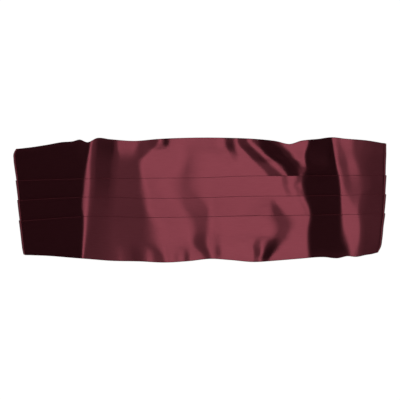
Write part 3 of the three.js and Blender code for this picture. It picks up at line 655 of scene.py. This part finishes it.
# Nickel plating over stamped steel: bright, with a faint brushed grain and a few fine scuffs.
NICKEL = "#CFCAC2"
nickel = empty_material("nickel_plating")
metal_place = node(nickel, "ShaderNodeTexCoord")
grain_scale = node(nickel, "ShaderNodeMapping", [("Vector", metal_place.outputs["Object"])])
grain_scale.inputs["Scale"].default_value = (1 / 0.0002, 1 / 0.004, 1 / 0.0002)
grain = node(nickel, "ShaderNodeTexNoise", [("Vector", grain_scale.outputs["Vector"])],
             Scale=1.0, Detail=3.0)
scuffs = node(nickel, "ShaderNodeMapRange", [("Value", grain.outputs["Fac"])], To_Min=0.18, To_Max=0.34)
grain_relief = node(nickel, "ShaderNodeBump", [("Height", grain.outputs["Fac"])],
                    Strength=0.1, Distance=0.00002)
metal = node(nickel, "ShaderNodeBsdfPrincipled", [
    ("Roughness", scuffs.outputs["Result"]), ("Normal", grain_relief.outputs["Normal"]),
], Metallic=1.0)
metal.inputs["Base Color"].default_value = linear(NICKEL)
node(nickel, "ShaderNodeOutputMaterial", [("Surface", metal.outputs["BSDF"])])
plate.materials.clear()
clasp = piece_of("clasp_plate", plate, nickel, "clasp")

# The stitches: black thread in a box with a cross over each strap's sewn lap, and in a box over
# its return. They show on the strap's upper face.
STITCH = {"Length": 0.0021, "Gap": 0.0009, "Radius": 0.00022}
BOX_INSET = 0.0022
THREAD_DYE = "#0E0B0F"


def stitch_tree():
    """Geometry nodes that lay stitches along an edge mesh."""
    tree = bpy.data.node_groups.new("stitches", "GeometryNodeTree")
    face = tree.interface
    face.new_socket("Geometry", in_out="INPUT", socket_type="NodeSocketGeometry")
    for key, value in STITCH.items():
        face.new_socket(key, in_out="INPUT", socket_type="NodeSocketFloat").default_value = value
    face.new_socket("Thread", in_out="INPUT", socket_type="NodeSocketMaterial")
    face.new_socket("Geometry", in_out="OUTPUT", socket_type="NodeSocketGeometry")

    def add(kind, **settings):
        made = tree.nodes.new(kind)
        for key, value in settings.items():
            setattr(made, key, value)
        return made

    def link(source, target):
        tree.links.new(source, target)

    given, result = add("NodeGroupInput"), add("NodeGroupOutput")
    curve = add("GeometryNodeMeshToCurve")
    pitch = add("ShaderNodeMath", operation="ADD")
    spaced = add("GeometryNodeCurveToPoints", mode="LENGTH")
    thread = add("GeometryNodeMeshUVSphere")
    thread.inputs["Segments"].default_value = 8
    thread.inputs["Rings"].default_value = 6
    thread.inputs["Radius"].default_value = 1
    half = add("ShaderNodeMath", operation="MULTIPLY")
    half.inputs[1].default_value = 0.5
    size = add("ShaderNodeCombineXYZ")
    lay = add("GeometryNodeInstanceOnPoints")
    real = add("GeometryNodeRealizeInstances")
    paint = add("GeometryNodeSetMaterial")
    link(given.outputs["Geometry"], curve.inputs["Mesh"])
    link(given.outputs["Length"], pitch.inputs[0])
    link(given.outputs["Gap"], pitch.inputs[1])
    link(curve.outputs["Curve"], spaced.inputs["Curve"])
    link(pitch.outputs["Value"], spaced.inputs["Length"])
    link(given.outputs["Length"], half.inputs[0])
    link(given.outputs["Radius"], size.inputs["X"])
    link(given.outputs["Radius"], size.inputs["Y"])
    link(half.outputs["Value"], size.inputs["Z"])
    link(spaced.outputs["Points"], lay.inputs["Points"])
    link(spaced.outputs["Rotation"], lay.inputs["Rotation"])
    link(thread.outputs["Mesh"], lay.inputs["Instance"])
    link(size.outputs["Vector"], lay.inputs["Scale"])
    link(lay.outputs["Instances"], real.inputs["Geometry"])
    link(real.outputs["Geometry"], paint.inputs["Geometry"])
    link(given.outputs["Thread"], paint.inputs["Material"])
    link(paint.outputs["Geometry"], result.inputs["Geometry"])
    return tree


thread_material = empty_material("black_thread")
twist_place = node(thread_material, "ShaderNodeTexCoord")
twist = node(thread_material, "ShaderNodeTexNoise", [("Vector", twist_place.outputs["Object"])],
             Scale=4000.0)
thread_face = node(thread_material, "ShaderNodeBsdfPrincipled", Roughness=0.5)
thread_face.inputs["Base Color"].default_value = linear(THREAD_DYE)
thread_bump = node(thread_material, "ShaderNodeBump", [("Height", twist.outputs["Fac"])],
                   Strength=0.3, Distance=0.0001)
thread_material.node_tree.links.new(thread_bump.outputs["Normal"], thread_face.inputs["Normal"])
node(thread_material, "ShaderNodeOutputMaterial", [("Surface", thread_face.outputs["BSDF"])])

half_strap = STRAP_WIDTH / 2 - BOX_INSET
boxes = [
    (lap_start + BOX_INSET, lap_end - BOX_INSET / 2, lap_level + STRAP_THICKNESS / 2, True),
    (seam_x + BOX_INSET, return_start - BOX_INSET / 2, 2 * STRAP_THICKNESS, False),
]
points, edges = [], []
for side in (-1, 1):
    for near, far, level, crossed in boxes:
        n = len(points)
        box = ((near, -half_strap), (far, -half_strap), (far, half_strap), (near, half_strap))
        points += [(-side * x, FLAP_END_RISE + y, level) for x, y in box]
        edges += [(n, n + 1), (n + 1, n + 2), (n + 2, n + 3), (n + 3, n)]
        if crossed:
            edges += [(n, n + 2), (n + 1, n + 3)]
# Each run of stitches is a line of its own, so that a cross doesn't join the box.
lines = bpy.data.meshes.new("stitch_lines")
lines.from_pydata([points[i] for edge in edges for i in edge],
                  [(2 * i, 2 * i + 1) for i in range(len(edges))], [])
sewn_lines = bpy.data.objects.new("stitch_lines", lines)
bpy.context.scene.collection.objects.link(sewn_lines)
sewing = sewn_lines.modifiers.new("stitches", "NODES")
sewing.node_group = stitch_tree()
for item in sewing.node_group.interface.items_tree:
    if item.item_type == "SOCKET" and item.in_out == "INPUT" and item.name != "Geometry":
        sewing[item.identifier] = thread_material if item.name == "Thread" else STITCH[item.name]
stitches_mesh = bpy.data.meshes.new_from_object(
    sewn_lines.evaluated_get(bpy.context.evaluated_depsgraph_get()))
bpy.data.objects.remove(sewn_lines)
stitches_mesh.name = "strap_stitches"
stitches = piece_of("strap_stitches", stitches_mesh, thread_material, None)

# The table is a pale sheet, lit so that it looks white to the camera and throws only a little
# light up at the satin. Soft lamps hang over it. The large one stands almost straight above, so
# the front's level parts shine, what rises to the right goes dark, and what falls stays between.
FLOOR_SIZE = 8
FLOOR_GAP = 0.0002  # between the sash and the table
PAPER_WHITE = "#E8E8E8"
floor_mesh = bpy.data.meshes.new("floor")
corner = FLOOR_SIZE / 2
floor_corners = [(-corner, -corner, 0), (corner, -corner, 0), (corner, corner, 0), (-corner, corner, 0)]
floor_mesh.from_pydata(floor_corners, [], [(0, 1, 2, 3)])
floor = bpy.data.objects.new("floor", floor_mesh)
floor.location.z = -FLOOR_GAP
bpy.context.scene.collection.objects.link(floor)
paper = empty_material("white_paper")
seen = node(paper, "ShaderNodeLightPath")
glow = node(paper, "ShaderNodeMapRange", [("Value", seen.outputs["Is Camera Ray"])],
            To_Min=0.04, To_Max=0.95)
white = node(paper, "ShaderNodeBsdfPrincipled", [("Emission Strength", glow.outputs["Result"])],
             Roughness=0.9)
white.inputs["Base Color"].default_value = linear(PAPER_WHITE)
white.inputs["Emission Color"].default_value = (1, 1, 1, 1)
node(paper, "ShaderNodeOutputMaterial", [("Surface", white.outputs["BSDF"])])
floor_mesh.materials.append(paper)
floor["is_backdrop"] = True


def lamp(name, lean, distance, width, length, radiance):
    """A soft rectangular lamp that shines on the sash, leaning to the right by degrees."""
    data = bpy.data.lights.new(name, "AREA")
    data.shape = "RECTANGLE"
    data.size = width
    data.size_y = length
    data.energy = radiance * math.pi * width * length
    made = bpy.data.objects.new(name, data)
    angle = math.radians(lean)
    made.location = (distance * math.sin(angle), 0, distance * math.cos(angle))
    made.rotation_euler = (0, angle, 0)
    made.visible_camera = False
    bpy.context.scene.collection.objects.link(made)


lamp("main_softbox", 1, 6, 1.7, 5, 0.76)
lamp("right_softbox", 21.5, 6, 2.66, 5, 0.14)
# The room is dim overhead and pale round the horizon, so that the satin keeps its colour when it
# is seen from a side.
world = bpy.data.worlds.new("studio")
bpy.context.scene.world = world
world.use_nodes = True
background = world.node_tree.nodes["Background"]
background.inputs["Color"].default_value = (1, 1, 1, 1)
direction = node(world, "ShaderNodeTexCoord")
parts = node(world, "ShaderNodeSeparateXYZ", [("Vector", direction.outputs["Generated"])])
dimming = node(world, "ShaderNodeMapRange", [("Value", parts.outputs["Z"])],
               From_Min=0.15, From_Max=0.5, To_Min=0.33, To_Max=0.012)
world.node_tree.links.new(dimming.outputs["Result"], background.inputs["Strength"])
bpy.context.scene.view_settings.view_transform = "Standard"

low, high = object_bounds()
